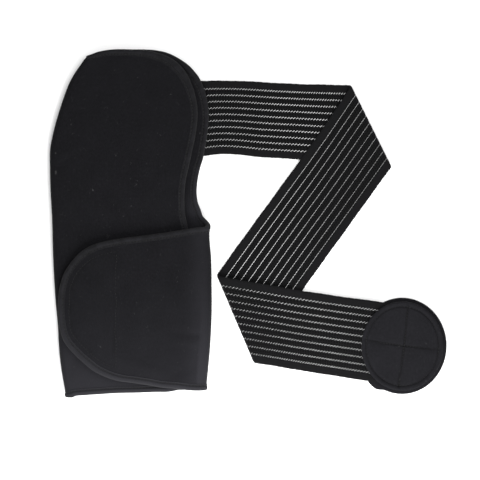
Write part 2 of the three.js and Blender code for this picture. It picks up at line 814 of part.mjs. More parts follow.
// Lower pad, under the end of the strap
function endDiscBacking() {
  const top = disc_backing_thickness;
  const profile = [
    { r: 0, z: 0 },
    { r: 0.5, z: 0 },
    { r: 0.965, z: 0 },
    { r: 1, z: top * 0.35 },
    { r: 0.995, z: top * 0.8 },
    { r: 0.97, z: top },
    { r: 0.5, z: top },
    { r: 0, z: top },
  ];
  return discSolid(profile, disc_backing_width, disc_backing_height, () => 0);
}

// Upper pad with a raised rim, lowered where no strap lies under it
function endDiscFace() {
  const low = disc_backing_thickness + strap_gap + strap_thickness + disc_gap;
  const top = low + disc_face_thickness;
  const rim = disc_rim_width / (disc_face_width / 2);
  const profile = [
    { r: 0, z: low },
    { r: 0.6, z: low },
    { r: 0.97, z: low },
    { r: 1, z: low + 0.5 * disc_face_thickness },
    { r: 0.985, z: top + 0.6 * disc_rim_height },
    { r: 1 - rim * 0.55, z: top + disc_rim_height },
    { r: 1 - rim, z: top + 0.5 * disc_rim_height },
    { r: 1 - rim * 1.35, z: top - 0.35 },
    { r: 1 - rim * 1.8, z: top },
    { r: 0.5, z: top },
    { r: 0, z: top },
  ];
  const sink = strap_thickness + strap_gap - 0.1;
  const sink_from = disc_centre.x + 0.15 * disc_face_width;
  const sink_to = disc_centre.x + 0.46 * disc_face_width;
  const drop = (x) => sink * ramp(sink_from, sink_to, x);
  return discSolid(profile, disc_face_width, disc_face_height, drop);
}

// Named pieces, each with its own material
const group = new THREE.Group();
function addPiece(name, geometry, color, roughness) {
  const material = new THREE.MeshStandardMaterial({ color, roughness, metalness: 0 });
  const mesh = new THREE.Mesh(geometry, material);
  mesh.name = name;
  group.add(mesh);
}
addPiece("body_shell", bodyShell(), 0x232325, 0.95);
addPiece("edge_binding", edgeBinding(), 0x1c1c1e, 0.9);
addPiece("hook_patch", hookPatch(), 0x161617, 0.85);
addPiece("elastic_strap", elasticStrap(), 0x202022, 0.9);
addPiece("end_disc_backing", endDiscBacking(), 0x2c2c2e, 0.9);
addPiece("end_disc_face", endDiscFace(), 0x2a2a2c, 0.95);

// Row frame: middle of the footprint at the origin
group.updateMatrixWorld(true);
const footprint = new THREE.Box3().setFromObject(group, true);
group.position.x = -(footprint.min.x + footprint.max.x) / 2;
group.position.y = -(footprint.min.y + footprint.max.y) / 2;

export default group;
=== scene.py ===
import math

import bpy
import numpy as np
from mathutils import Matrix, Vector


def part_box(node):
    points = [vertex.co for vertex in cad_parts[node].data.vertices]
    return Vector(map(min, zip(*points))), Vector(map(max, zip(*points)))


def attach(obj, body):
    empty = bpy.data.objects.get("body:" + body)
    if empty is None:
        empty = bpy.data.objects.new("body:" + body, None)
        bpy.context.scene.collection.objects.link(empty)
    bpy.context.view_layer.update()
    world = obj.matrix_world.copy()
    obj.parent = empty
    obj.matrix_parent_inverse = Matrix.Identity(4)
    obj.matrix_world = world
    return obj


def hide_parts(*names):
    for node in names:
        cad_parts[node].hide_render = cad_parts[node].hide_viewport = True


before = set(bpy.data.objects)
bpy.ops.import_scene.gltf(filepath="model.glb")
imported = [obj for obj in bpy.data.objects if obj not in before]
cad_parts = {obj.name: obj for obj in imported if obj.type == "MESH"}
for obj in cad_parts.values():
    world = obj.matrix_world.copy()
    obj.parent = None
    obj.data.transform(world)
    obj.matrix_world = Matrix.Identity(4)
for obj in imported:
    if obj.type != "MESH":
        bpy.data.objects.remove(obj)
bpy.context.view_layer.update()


# Sleeve: one sheet of 2.6 mm neoprene with brushed jersey on both faces. It runs from the front layer
# round the left fold, across the back, round the right fold and ends as the closure flap on the front.
# The cap over the shoulder is sewn to shape, and every free edge is bound later.
sleeve_width = 0.152
sleeve_length = 0.328
neoprene = 0.0026
hollow_height = 0.0095
tape_thickness = 0.0007
tape_gap = 0.00045
layer_gap = 0.0005
strap_width = 0.075
strap_thickness = 0.0016
strap_gap = 0.0003
floor_gap = 0.0001
armpit_rise = 0.003

edge_lift = tape_thickness + tape_gap
rim_rise = edge_lift + floor_gap
strap_lift = strap_thickness + strap_gap
front_rim_under = rim_rise + strap_lift + neoprene + 2 * edge_lift + layer_gap
front_middle_under = neoprene + hollow_height
flap_clear = 2 * edge_lift + layer_gap


def heading(degrees):
    """Unit vector on the floor, in degrees from +X."""
    return np.array([math.cos(math.radians(degrees)), math.sin(math.radians(degrees))])


# The strap's middle line: three straight runs, the first one starting hidden under the back layer
strap_ways = [heading(-2), heading(-125), heading(-9)]
strap_runs = [0.194, 0.2235, 0.1595]
strap_start = np.array([0.434 * sleeve_width - 0.033, 0.301 * sleeve_length])
crease_one = strap_start + strap_ways[0] * strap_runs[0]
crease_two = crease_one + strap_ways[1] * strap_runs[1]
disc_place = crease_two + strap_ways[2] * strap_runs[2]
backing_low, backing_high = np.array(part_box("end_disc_backing"))[:, :2]
sleeve_middle = (backing_low + backing_high) / 2 - disc_place


def on_sleeve(rows):
    """Places given as shares of the sleeve's width and length, from its middle."""
    return np.array(rows, float) * [sleeve_width, sleeve_length]


def unit(v):
    return v / np.maximum(np.linalg.norm(v, axis=-1, keepdims=True), 1e-12)


def smooth_step(a, b, v):
    k = np.clip((v - a) / (b - a), 0, 1)
    return k * k * (3 - 2 * k)


def bell(off, half_width):
    """Soft bump of height one, for a distance off its middle."""
    return np.exp(-((off / half_width) ** 2))


def ease(t):
    """Weights of a smooth curve between two knots: for its first place, and for its two slopes."""
    return 2 * t**3 - 3 * t**2 + 1, t**3 - 2 * t**2 + t, t**3 - t**2


def between(knots, values, v):
    """Value at v, smooth between the knots and straight beyond them."""
    gaps = np.diff(knots)
    slope = np.empty_like(values, float)
    slope[1:-1] = (values[2:] - values[:-2]) / (knots[2:] - knots[:-2])
    slope[0] = (values[1] - values[0]) / gaps[0]
    slope[-1] = (values[-1] - values[-2]) / gaps[-1]
    v = np.asarray(v, float)
    k = np.clip(np.searchsorted(knots, v) - 1, 0, len(gaps) - 1)
    a, b, c = ease(np.clip((v - knots[k]) / gaps[k], 0, 1))
    inside = a * values[k] + b * gaps[k] * slope[k] + (1 - a) * values[k + 1] + c * gaps[k] * slope[k + 1]
    return inside + slope[0] * np.minimum(v - knots[0], 0) + slope[-1] * np.maximum(v - knots[-1], 0)


# Left side from hem to the top of the curved seam, and right fold from hem to armpit
left_side = on_sleeve([
    (-0.398, -0.5), (-0.424, -0.433), (-0.441, -0.373), (-0.451, -0.296), (-0.467, -0.212),
    (-0.48, -0.102), (-0.487, 0.012), (-0.497, 0.095), (-0.5, 0.16), (-0.5, 0.204),
    (-0.493, 0.23), (-0.47, 0.277), (-0.447, 0.314), (-0.418, 0.355), (-0.382, 0.399),
    (-0.345, 0.43), (-0.306, 0.456), (-0.257, 0.492),
])
right_side = on_sleeve([
    (0.467, -0.488), (0.48, -0.425), (0.493, -0.358), (0.503, -0.267), (0.503, -0.175),
    (0.5, -0.102), (0.49, -0.046), (0.49, 0.038),
])
back_edge = on_sleeve([
    (-0.257, 0.482), (-0.211, 0.491), (-0.155, 0.497), (-0.089, 0.5), (-0.01, 0.499),
    (0.069, 0.499), (0.148, 0.497), (0.227, 0.489), (0.306, 0.471), (0.378, 0.445),
    (0.434, 0.41), (0.467, 0.369), (0.484, 0.326), (0.482, 0.284), (0.47, 0.238),
    (0.454, 0.195), (0.429, 0.155), (0.413, 0.117), (0.409, 0.085), (0.418, 0.056),
    (0.434, 0.038),
])
flap_edge = on_sleeve([
    (0.401, -0.014), (0.322, -0.02), (0.24, -0.026), (0.151, -0.032), (0.053, -0.038),
    (-0.053, -0.044), (-0.138, -0.051), (-0.217, -0.061), (-0.273, -0.073), (-0.322, -0.091),
    (-0.368, -0.116), (-0.405, -0.143), (-0.428, -0.174), (-0.441, -0.207), (-0.444, -0.241),
    (-0.441, -0.274), (-0.431, -0.306), (-0.411, -0.334), (-0.378, -0.357), (-0.332, -0.38),
    (-0.28, -0.402), (-0.22, -0.424), (-0.155, -0.439), (-0.076, -0.451), (0.02, -0.457),
    (0.105, -0.463), (0.191, -0.47), (0.276, -0.473), (0.362, -0.478),
])
back_hem = on_sleeve([
    (0.362, -0.48), (0.257, -0.481), (0.151, -0.482), (0.039, -0.484), (-0.072, -0.485),
    (-0.178, -0.488), (-0.27, -0.491), (-0.349, -0.497),
])
front_hem = on_sleeve([
    (-0.349, -0.498), (-0.27, -0.493), (-0.178, -0.49), (-0.072, -0.487), (0.039, -0.486),
    (0.151, -0.484), (0.257, -0.482),
])
front_edge = on_sleeve([
    (0.319, -0.473), (0.355, -0.45), (0.368, -0.421), (0.368, -0.335), (0.368, -0.25),
    (0.368, -0.165), (0.368, -0.082), (0.365, -0.043), (0.352, -0.006), (0.337, 0.03),
    (0.334, 0.062), (0.336, 0.095), (0.345, 0.128), (0.362, 0.162), (0.378, 0.197),
    (0.395, 0.233), (0.409, 0.27), (0.416, 0.306), (0.411, 0.345), (0.403, 0.364),
    (0.391, 0.383), (0.361, 0.418), (0.312, 0.45), (0.253, 0.472), (0.178, 0.486),
    (0.099, 0.495), (0.02, 0.497), (-0.059, 0.498), (-0.138, 0.496), (-0.211, 0.489),
    (-0.257, 0.48),
])

# Soft creases in the front and the flap: place as shares of width and length, direction in degrees,
# then half length, half width and height in metres
creases = [
    (-0.43, 0.17, 35, 0.016, 0.0035, -0.0009),
    (-0.40, 0.19, 40, 0.018, 0.004, 0.0006),
    (0.42, -0.32, -8, 0.018, 0.0028, -0.0009),
    (0.41, -0.345, -8, 0.02, 0.0038, 0.0007),
    (0.05, 0.12, 70, 0.05, 0.012, 0.0005),
    (-0.15, -0.01, 12, 0.05, 0.009, -0.0005),
    (-0.36, -0.40, 60, 0.03, 0.006, -0.0006),
    (0.2, 0.3, -60, 0.05, 0.012, 0.0004),
    (0.12, -0.42, -18, 0.035, 0.005, 0.0007),
    (0.3, -0.43, 24, 0.025, 0.005, -0.0006),
]


def crease_height(x, y):
    total = np.zeros(np.broadcast(x, y).shape)
    for u, v, turn, long, wide, lift in creases:
        along = heading(turn)
        dx = x - u * sleeve_width
        dy = y - v * sleeve_length
        far = (dx * along[0] + dy * along[1]) / long
        off = (dy * along[0] - dx * along[1]) / wide
        total = total + lift * np.exp(-far * far - off * off)
    return total


def inward_steps(run):
    """Step that moves each point of a closed run one metre inwards, along the bisector."""
    u = unit(run - np.roll(run, 1, axis=0))
    v = unit(np.roll(run, -1, axis=0) - run)
    n = unit(np.stack([u[:, 1] + v[:, 1], -u[:, 0] - v[:, 0]], axis=1))
    reach = np.maximum(n[:, 0] * u[:, 1] - n[:, 1] * u[:, 0], 0.6)
    return n / reach[:, None]


def clip_side(points, key, at, sign):
    """Part of a closed run on one side of a straight cut."""
    kept = []
    for p, q in zip(points, points[1:] + points[:1]):
        dp = sign * (p[key] - at)
        dq = sign * (q[key] - at)
        if dp >= 0:
            kept.append(p)
        if dp * dq < 0:
            t = dp / (dp - dq)
            cut = [p[0] + (q[0] - p[0]) * t, p[1] + (q[1] - p[1]) * t]
            cut[key] = at
            kept.append(tuple(cut))
    return kept


# The hook patch under the flap follows the flap's edge and ends in a straight side
hook_patch_margin = 0.0095
hook_patch_side = -0.08 * sleeve_width
patch_seam_in = 0.0024
mirrored = flap_edge * [-1, 1]
drawn_in = (mirrored + inward_steps(mirrored) * hook_patch_margin) * [-1, 1]
patch_run = clip_side([tuple(p) for p in drawn_in], 0, hook_patch_side, -1)


def inside_patch(x, y):
    """Distance inside the hook patch's outline, below zero outside it."""
    ring = np.array(patch_run)
    after = np.roll(ring, -1, axis=0)
    nearest = np.full(np.shape(x), 1.0)
    crossings = np.zeros(np.shape(x), int)
    for a, b in zip(ring, after):
        way = b - a
        share = np.clip(((x - a[0]) * way[0] + (y - a[1]) * way[1]) / max(way @ way, 1e-12), 0, 1)
        nearest = np.minimum(nearest, np.hypot(x - a[0] - way[0] * share, y - a[1] - way[1] * share))
        if a[1] != b[1]:
            spans = (a[1] > y) != (b[1] > y)
            crossings += spans & (x < a[0] + (y - a[1]) / (b[1] - a[1]) * way[0])
    return np.where(crossings % 2 == 1, nearest, -nearest)


def patch_relief(x, y):
    """The patch shows through the flap as a low step, with a stitched channel along its edge."""
    depth = inside_patch(x, y)
    return 0.0004 * smooth_step(-0.003, 0.002, depth) - 0.00035 * bell(depth - patch_seam_in, 0.0013)


def back_height(x, y):
    """Middle height of the back layer: on the floor, raised at its bound edges and over the strap."""
    u = x / sleeve_width
    v = y / sleeve_length
    hem = smooth_step(-0.34, -0.457, v)
    side = smooth_step(0.105, 0.368, u) * smooth_step(-0.107, 0.015, v)
    top = smooth_step(0.274, 0.451, v)
    raised = 1 - (1 - hem) * (1 - side) * (1 - top)
    strap_low = strap_start[1] - strap_width / 2
    from_left = smooth_step(strap_start[0] - 0.31 * sleeve_width, strap_start[0] - 0.05 * sleeve_width, x)
    from_below = smooth_step(strap_low - 0.15 * sleeve_length, strap_low - 0.015 * sleeve_length, y)
    armpit = smooth_step(0.3, 0.44, u) * bell(v - 0.03, 0.055)
    lifted = rim_rise * raised + strap_lift * from_left * from_below + armpit_rise * armpit
    return lifted + neoprene / 2


def front_height(x, y):
    """Middle height of the front layer: domed over the hollow, lower towards the cap's edges."""
    u = x / sleeve_width
    v = y / sleeve_length
    across = 1 - 0.6 * smooth_step(0.225, 0.525, np.abs(u))
    armpit = 1 - 0.8 * smooth_step(0.15, 0.45, u) * smooth_step(-0.2, -0.03, v)
    bulge = across * armpit * (1 - smooth_step(0.061, 0.457, v))
    return front_rim_under + (front_middle_under - front_rim_under) * bulge + neoprene / 2


def flap_height(x, y):
    return front_height(x, y) + neoprene + flap_clear


def row_of(y):
    """Where the sleeve's folds lie on the row at y."""
    y = np.asarray(y, float)
    left = between(left_side[:, 1], left_side[:, 0], y)
    right = between(right_side[:, 1], right_side[:, 0], np.minimum(y, right_side[-1, 1]))
    left_x = left + (neoprene + hollow_height) / 2
    right_x = right - (neoprene + hollow_height) / 2
    for _ in range(4):
        left_r = (front_height(left_x, y) - back_height(left_x, y)) / 2
        right_r = (flap_height(right_x, y) - back_height(right_x, y)) / 2
        left_x = left + neoprene / 2 + left_r
        right_x = right - neoprene / 2 - right_r
    back_start = math.pi * left_r / 2
    back_end = back_start + right_x - left_x
    flap_start = back_end + math.pi * right_r
    return left_x, left_r, right_x, right_r, back_start, back_end, flap_start


armpit_row = 0.061 * sleeve_length


def sheet_point(s, y):
    """Middle of the sheet: s runs from the left fold, above zero over the back, y along the arm."""
    left_x, left_r, right_x, right_r, back_start, back_end, flap_start = row_of(y)
    left_turn = s / left_r
    right_turn = (s - back_end) / right_r
    front_x = left_x - s - back_start
    back_x = left_x + s - back_start
    flap_x = right_x - (s - flap_start)
    left_low = back_height(left_x, y)
    right_low = back_height(right_x, y)
    creased_front = front_height(front_x, y) + crease_height(front_x, y)
    creased_flap = flap_height(flap_x, y) + crease_height(flap_x, y) + patch_relief(flap_x, y)
    is_left = np.abs(s) <= back_start
    is_front = s < -back_start
    is_back = (s > back_start) & ((s <= back_end) | (y > armpit_row))
    is_fold = (s > back_end) & (s <= flap_start) & (y <= armpit_row)
    picks = [is_left, is_front, is_back, is_fold]
    x = np.select(picks, [left_x - left_r * np.cos(left_turn), front_x, back_x,
                          right_x + right_r * np.sin(right_turn)], flap_x)
    z = np.select(picks, [left_low + left_r * (1 - np.sin(left_turn)), creased_front,
                          back_height(back_x, y), right_low + right_r * (1 - np.cos(right_turn))],
                  creased_flap)
    return np.stack([x, y + 0 * x, z], axis=-1)


def off_sheet(s, y, h):
    """Point off the middle of the sheet, into the hollow when h is above zero."""
    d = 0.0004
    along_s = sheet_point(s + d, y) - sheet_point(s - d, y)
    along_y = sheet_point(s, y + d) - sheet_point(s, y - d)
    return sheet_point(s, y) + unit(np.cross(along_s, along_y)) * np.asarray(h)[..., None]


# Columns of the sheet's grid: -1 to 1 is the left fold, then the back, the right fold and the flap
back_columns = 56
fold_at = 1 + back_columns
column_pitch = sleeve_width / 64


def bends(y):
    """The sheet's four bends on the row at y, as columns and as s."""
    _, _, _, _, back_start, back_end, flap_start = row_of(y)
    return (-1, 1, fold_at, fold_at + 2), (-back_start, back_start, back_end, flap_start)


def carried_over(value, knots, targets, rate):
    """Value carried from one set of knots to the other, at the given rate beyond them."""
    picks = [value < knots[0], *(value <= knot for knot in knots[1:])]
    found = [targets[0] + (value - knots[0]) * rate]
    for k in range(3):
        share = (value - knots[k]) / (knots[k + 1] - knots[k])
        found.append(targets[k] + share * (targets[k + 1] - targets[k]))
    return np.select(picks, found, targets[3] + (value - knots[3]) * rate)


def column_of(s, y):
    columns, places = bends(y)
    return carried_over(s, places, columns, 1 / column_pitch)


def stretch_of(c, y):
    columns, places = bends(y)
    return carried_over(c, columns, places, column_pitch)


def sleeve_outline():
    """Free edge of the sheet as (s, y), from the seam's top over the back, flap, hems and front."""
    run = [(0.0, 0.4665 * sleeve_length)]

    def on_layer(points, layer):
        x, y = points.T
        left_x, _, right_x, _, back_start, _, flap_start = row_of(y)
        s = {
            "back": back_start + x - left_x,
            "flap": flap_start + right_x - x,
            "front": -back_start - (x - left_x),
        }[layer]
        run.extend(zip(s, y))

    def over_fold(c_from, c_to, v):
        y = sleeve_length * v
        run.extend(zip(stretch_of(c_from + (c_to - c_from) * turn, y), y))

    turn = np.arange(9) / 8
    on_layer(back_edge, "back")
    over_fold(fold_at, fold_at + 2, 0.02 - 0.032 * (1 - (1 - turn) ** 2))
    on_layer(flap_edge, "flap")
    over_fold(fold_at + 2, fold_at, -0.4793 + 0 * turn)
    on_layer(back_hem, "back")
    over_fold(1, -1, -0.5 + 0 * turn)
    on_layer(front_hem, "front")
    on_layer(front_edge, "front")
    return np.array(run)


def flowing(rows, pitch):
    """Rows resampled about every pitch on a smooth curve through them; sharp corners stay sharp."""
    rows = np.asarray(rows, float)
    steps = np.diff(rows, axis=0)
    gaps = np.linalg.norm(steps[:, :2], axis=1)
    rates = steps / gaps[:, None]
    into = np.vstack([rates[:1], rates])
    out = np.vstack([rates, rates[-1:]])
    turn = np.sum(into[:, :2] * out[:, :2], axis=1)
    weight = np.concatenate([[1], gaps[1:] / (gaps[1:] + gaps[:-1]), [0]])[:, None]
    mean = into * weight + out * (1 - weight)
    smooth = (turn > 0.6)[:, None]
    leave = np.where(smooth, mean, out)
    reach = np.where(smooth, mean, into)
    found = []
    for k, gap in enumerate(gaps):
        count = max(1, round(gap / pitch))
        a, b, c = ease((np.arange(count) / count)[:, None])
        found.append(a * rows[k] + b * gap * leave[k] + (1 - a) * rows[k + 1] + c * gap * reach[k + 1])
    return np.vstack(found + [rows[-1:]])


def cut_cloth(outline, columns, rows):
    """Flat cloth inside the outline, cut into cells: its points and its faces."""
    number = {}
    faces = []
    for low_y, high_y in zip(rows[:-1], rows[1:]):
        strip = clip_side(outline, 1, low_y, 1)
        strip = clip_side(strip, 1, high_y, -1)
        for low_c, high_c in zip(columns[:-1], columns[1:]):
            if not strip or high_c < min(strip)[0] or low_c > max(strip)[0]:
                continue
            piece = clip_side(clip_side(strip, 0, low_c, 1), 0, high_c, -1)
            ids = [number.setdefault((round(c, 6), round(y, 7)), len(number)) for c, y in piece]
            ids = list(dict.fromkeys(ids))
            area = sum(p[0] * q[1] - q[0] * p[1] for p, q in zip(piece, piece[1:] + piece[:1]))
            if len(ids) > 2 and abs(area) > 1e-9:
                faces.append(ids if area > 0 else ids[::-1])
    return np.array(list(number), float), faces


def cloth_solid(outline, columns, rows, place, thickness):
    """Closed sheet: faces on both sides and a rim, as vertices, faces and flat places."""
    points, faces = cut_cloth(outline, columns, rows)
    c, y = points[:, 0], points[:, 1]
    count = len(points)
    vertices = np.vstack([place(c, y, thickness / 2), place(c, y, -thickness / 2)])
    sides = {}
    for face in faces:
        for a, b in zip(face, face[1:] + face[:1]):
            if (b, a) in sides:
                del sides[(b, a)]
            else:
                sides[(a, b)] = True
    under = [[count + a for a in reversed(face)] for face in faces]
    rim = [[a, count + a, count + b, b] for a, b in sides]
    return vertices, faces + under + rim, np.vstack([points, points])


def make_piece(name, vertices, faces, flat=None, painted_shade=None, painted_light=None, sharp=50):
    """Mesh object in the row frame, shaded smooth, with its flat cut, painted shade in its grooves and
    painted light in its paler places.
    """
    mesh = bpy.data.meshes.new(name)
    shifted = np.asarray(vertices, float) + [sleeve_middle[0], sleeve_middle[1], 0]
    mesh.from_pydata(shifted.tolist(), [], faces)
    if flat is not None:
        layer = mesh.uv_layers.new(name="flat")
        corner = np.empty(len(mesh.loops), int)
        mesh.loops.foreach_get("vertex_index", corner)
        layer.data.foreach_set("uv", np.asarray(flat, float)[corner].ravel())
    for attribute, values in (("painted_shade", painted_shade), ("painted_light", painted_light)):
        if values is not None:
            mesh.attributes.new(attribute, "FLOAT", "POINT").data.foreach_set("value", values)
    mesh.polygons.foreach_set("use_smooth", [True] * len(mesh.polygons))
    mesh.set_sharp_from_angle(angle=math.radians(sharp))
    mesh.validate()
    mesh.update()
    piece = bpy.data.objects.new(name, mesh)
    bpy.context.scene.collection.objects.link(piece)
    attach(piece, "root")
    return piece


class Wire:
    """A shader socket that can be used in sums."""

    def __init__(self, finish, socket):
        self.finish = finish
        self.socket = socket

    def math(self, operation, *others):
        return self.finish.node("ShaderNodeMath", {"operation": operation}, dict(enumerate((self, *others))))

    def __add__(self, other):
        return self.math("ADD", other)

    def __sub__(self, other):
        return self.math("SUBTRACT", other)

    def __mul__(self, other):
        return self.math("MULTIPLY", other)

    def __abs__(self):
        return self.math("ABSOLUTE")


class Finish:
    """A material, built from nodes."""

    def __init__(self, name, **uniform):
        self.material = bpy.data.materials.new(name)
        self.material.use_nodes = True
        self.tree = self.material.node_tree
        self.shader = self.tree.nodes["Principled BSDF"]
        for socket, value in uniform.items():
            self.shader.inputs[socket.replace("_", " ")].default_value = value

    def node(self, kind, settings=None, inputs=None, output=0):
        node = self.tree.nodes.new(kind)
        for key, value in (settings or {}).items():
            setattr(node, key, value)
        for key, value in (inputs or {}).items():
            if isinstance(value, Wire):
                self.tree.links.new(value.socket, node.inputs[key])
            else:
                node.inputs[key].default_value = value
        return Wire(self, node.outputs[output])

    def place(self, flat=True):
        """Places on the flat cut, or in the object, in metres."""
        if flat:
            return self.node("ShaderNodeUVMap", {"uv_map": "flat"})
        return self.node("ShaderNodeTexCoord", output="Object")

    def grain(self, place, scale, detail=2.0, rough=0.5):
        inputs = {"Vector": place, "Scale": scale, "Detail": detail, "Roughness": rough}
        return self.node("ShaderNodeTexNoise", {}, inputs)

    def wave(self, direction, place, scale, distortion, detail=1.0):
        settings = {"bands_direction": direction, "wave_profile": "SIN"}
        inputs = {"Vector": place, "Scale": scale, "Distortion": distortion, "Detail": detail}
        return self.node("ShaderNodeTexWave", settings, inputs)

    def within(self, value, low, high, to_low=0.0, to_high=1.0):
        inputs = {"Value": value, "From Min": low, "From Max": high, "To Min": to_low, "To Max": to_high}
        return self.node("ShaderNodeMapRange", {"clamp": True}, inputs)

    def blend(self, mask, first, second):
        settings = {"data_type": "RGBA", "blend_type": "MIX"}
        return self.node("ShaderNodeMix", settings, {0: mask, 6: first, 7: second}, output=2)

    def link(self, wire, socket):
        self.tree.links.new(wire.socket, self.shader.inputs[socket])

    def painted(self, attribute):
        """Value kept with the mesh's points."""
        return self.node("ShaderNodeAttribute", {"attribute_name": attribute}, output="Fac")

    def bump(self, *layers):
        """Bumps one on top of another, each a height in metres."""
        normal = None
        for height in layers:
            inputs = {"Height": height, "Strength": 1.0, "Distance": 1.0}
            if normal is not None:
                inputs["Normal"] = normal
            normal = self.node("ShaderNodeBump", {}, inputs)
        self.link(normal, "Normal")


def grey(level, tint=(1.0, 1.0, 1.0)):
    """Linear colour of a grey given as a screen value from 0 to 255."""
    v = level / 255
    linear = v / 12.92 if v <= 0.04045 else ((v + 0.055) / 1.055) ** 2.4
    return (*(linear * share for share in tint), 1.0)


cool_black = (0.97, 0.955, 1.12)


def jersey_finish(name, dark, light, lint):
    """Brushed nylon jersey: fine knit rows, faint blotches, paler places of painted light, painted shade in
    grooves, and lint in the nap.
    """
    cloth = Finish(name, Sheen_Weight=0.05, Sheen_Roughness=0.35, Specular_IOR_Level=0.04)
    spot = cloth.place()
    blotch = cloth.grain(spot, 45.0, 5.0, 0.6)
    mottle = cloth.grain(spot, 420.0, 3.0, 0.7)
    tone_share = cloth.within(blotch, 0.3, 0.7) * 0.35 + cloth.within(mottle, 0.3, 0.7) * 0.65
    fresh = cloth.blend(tone_share, grey(dark, cool_black), grey(light, cool_black))
    # Painted light: paler where the mesh's points carry it
    tone = cloth.blend(cloth.painted("painted_light"), fresh, grey(light + 13, cool_black))
    fibre = abs(cloth.grain(spot, 130.0, 1.0, 0.4) - 0.5)
    sparse = cloth.grain(spot, 210.0, 1.0, 0.5)
    lint_mask = cloth.within(fibre, 0.006, 0.001) * cloth.within(sparse, 0.63, 0.68)
    linted = cloth.blend(lint_mask * lint, tone, grey(60))
    # Painted shade: darker in grooves and stitched channels, where the mesh's points carry it
    cloth.link(cloth.blend(cloth.painted("painted_shade"), linted, grey(8)), "Base Color")
    cloth.link(cloth.within(mottle, 0.3, 0.7, 0.86, 0.97), "Roughness")
    wale = cloth.wave("X", spot, 200.0, 1.4, 2.0)
    course = cloth.wave("Y", spot, 290.0, 1.8, 2.0)
    nap = cloth.grain(spot, 1400.0, 3.0, 0.7)
    cloth.bump(wale * 0.00007 + course * 0.00005, nap * 0.00014, mottle * 0.0002)
    return cloth.material


outline_run = sleeve_outline()
edge_path = flowing(np.hstack([outline_run, inward_steps(outline_run)]), 0.0017)
sheet_edge = edge_path[:, :2] + edge_path[:, 2:] * edge_lift
sheet_run = list(zip(column_of(*sheet_edge.T).tolist(), sheet_edge[:, 1].tolist()))

layer_columns = 72
fold_shares = 2 * np.arange(18) / 18
sheet_columns = np.concatenate([
    np.arange(-layer_columns, -1), fold_shares - 1, np.arange(1, fold_at), fold_shares + fold_at,
    np.arange(fold_at + 2, fold_at + 2 + layer_columns)]).tolist()
sheet_rows = (np.linspace(-0.506, 0.506, 141) * sleeve_length).tolist()
vertices, faces, flat = cloth_solid(
    sheet_run, sheet_columns, sheet_rows, lambda c, y, h: off_sheet(stretch_of(c, y), y, h), neoprene)
flat[:, 0] = stretch_of(*flat.T)
s, y = flat.T
left_x, _, right_x, _, back_start, _, flap_start = row_of(y)
on_flap = s > flap_start
# Painted shade in the stitched channel round the hook patch on the flap
channel_painted_shade = 0.25 * bell(inside_patch(right_x - (s - flap_start), y) - patch_seam_in, 0.0009) * on_flap


# Painted light: the jersey is painted paler towards the hem, with a painted sheen where the cloth turns
# round the right fold, and painted paler at the armpit against the shade of the hollow there
def hem_painted_light(y):
    return smooth_step(-0.12, -0.52, y / sleeve_length)


def corner_painted_light(x, y, u, v, spread):
    return bell(x / sleeve_width - u, 0.08) * bell(y / sleeve_length - v, spread)


fold_painted_sheen = bell(s - flap_start, 0.011) * (y < 0)
armpit_painted_light = corner_painted_light(left_x + s - back_start, y, 0.4, 0.03, 0.05)
# Painted light kept with the sleeve's points: how much paler the jersey is painted at each place
painted_light = np.clip(np.where(on_flap, 0.3, 0.8) * hem_painted_light(y) + 0.35 * fold_painted_sheen + armpit_painted_light, 0, 1)
sleeve = make_piece("sleeve_neoprene", vertices, faces, flat, channel_painted_shade, painted_light)
sleeve.data.materials.append(jersey_finish("sleeve_jersey", 13, 21, 0.5))
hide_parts("body_shell")


# Edge binding: black knitted tape, folded over the raw edge of the neoprene and sewn through with one
# line of stitches. It runs from one side of the cap's seam, round the flap and the hems, to the other.
tape_leg = 0.005
leg_under = neoprene / 2 + 0.00005
leg_top = neoprene / 2 + tape_gap + tape_thickness
stitch_in = 0.0047
stitch_sunk = 0.0008
stitch_pitch = 0.003

# Upper half of the tape's section: how far in from its fold, and how far off the sheet's middle
tape_profile = [
    (edge_lift + tape_leg, leg_under), (edge_lift + tape_leg, leg_under + 0.0003),
    (stitch_in + 0.0008, leg_under + 0.0005), (stitch_in + 0.0003, leg_top - stitch_sunk),
    (stitch_in - 0.0003, leg_top - stitch_sunk), (stitch_in - 0.0009, leg_top - 0.0002),
    (stitch_in - 0.0017, leg_top), (0.0018, leg_top), (0.0009, leg_top - 0.0002),
    (0.0003, leg_top - 0.0008), (0.0, leg_under - 0.0006),
]
tape_section = tape_profile + [(d, -h) for d, h in reversed(tape_profile)]
tape_section += [(edge_lift, -leg_under), (edge_lift, leg_under)]


def sweep(rings):
    """Vertices and faces of a solid swept through rings of points, with a face on each end."""
    count, size = rings.shape[:2]
    faces = []
    for a in range(0, (count - 1) * size, size):
        b = a + size
        faces += [[a + k, b + k, b + (k + 1) % size, a + (k + 1) % size] for k in range(size)]
    faces += [list(range(size)), [(count - 1) * size + k for k in reversed(range(size))]]
    return rings.reshape(-1, 3), faces


def facing_out(vertices, faces):
    """Faces turned outwards, told by the volume's sign."""
    fans = [(face[0], face[k], face[k + 1]) for face in faces for k in range(1, len(face) - 1)]
    a, b, c = np.asarray(vertices)[np.transpose(fans)]
    return faces if np.sum(a * np.cross(b, c)) > 0 else [face[::-1] for face in faces]


def walked(points):
    """Distance walked to each point of a line."""
    return np.concatenate([[0], np.cumsum(np.linalg.norm(np.diff(points, axis=0), axis=1))])


def carried_on(rings, length, steps):
    """Rings that go on straight past the last one, with the tape's two legs pressed flat on the way."""
    middle = rings[-1].mean(axis=0)
    ahead = unit(middle - rings[-4].mean(axis=0))
    shares = [(k + 1) / steps for k in range(steps)]
    return np.array([middle + (rings[-1] - middle) * [1, 1, 1 - 0.55 * share] + ahead * length * share
                     for share in shares])


def flat_places(along, across):
    """Flat place of each point of a swept piece."""
    return np.stack([np.repeat(along, len(across)), np.tile(across, len(along))], axis=1)


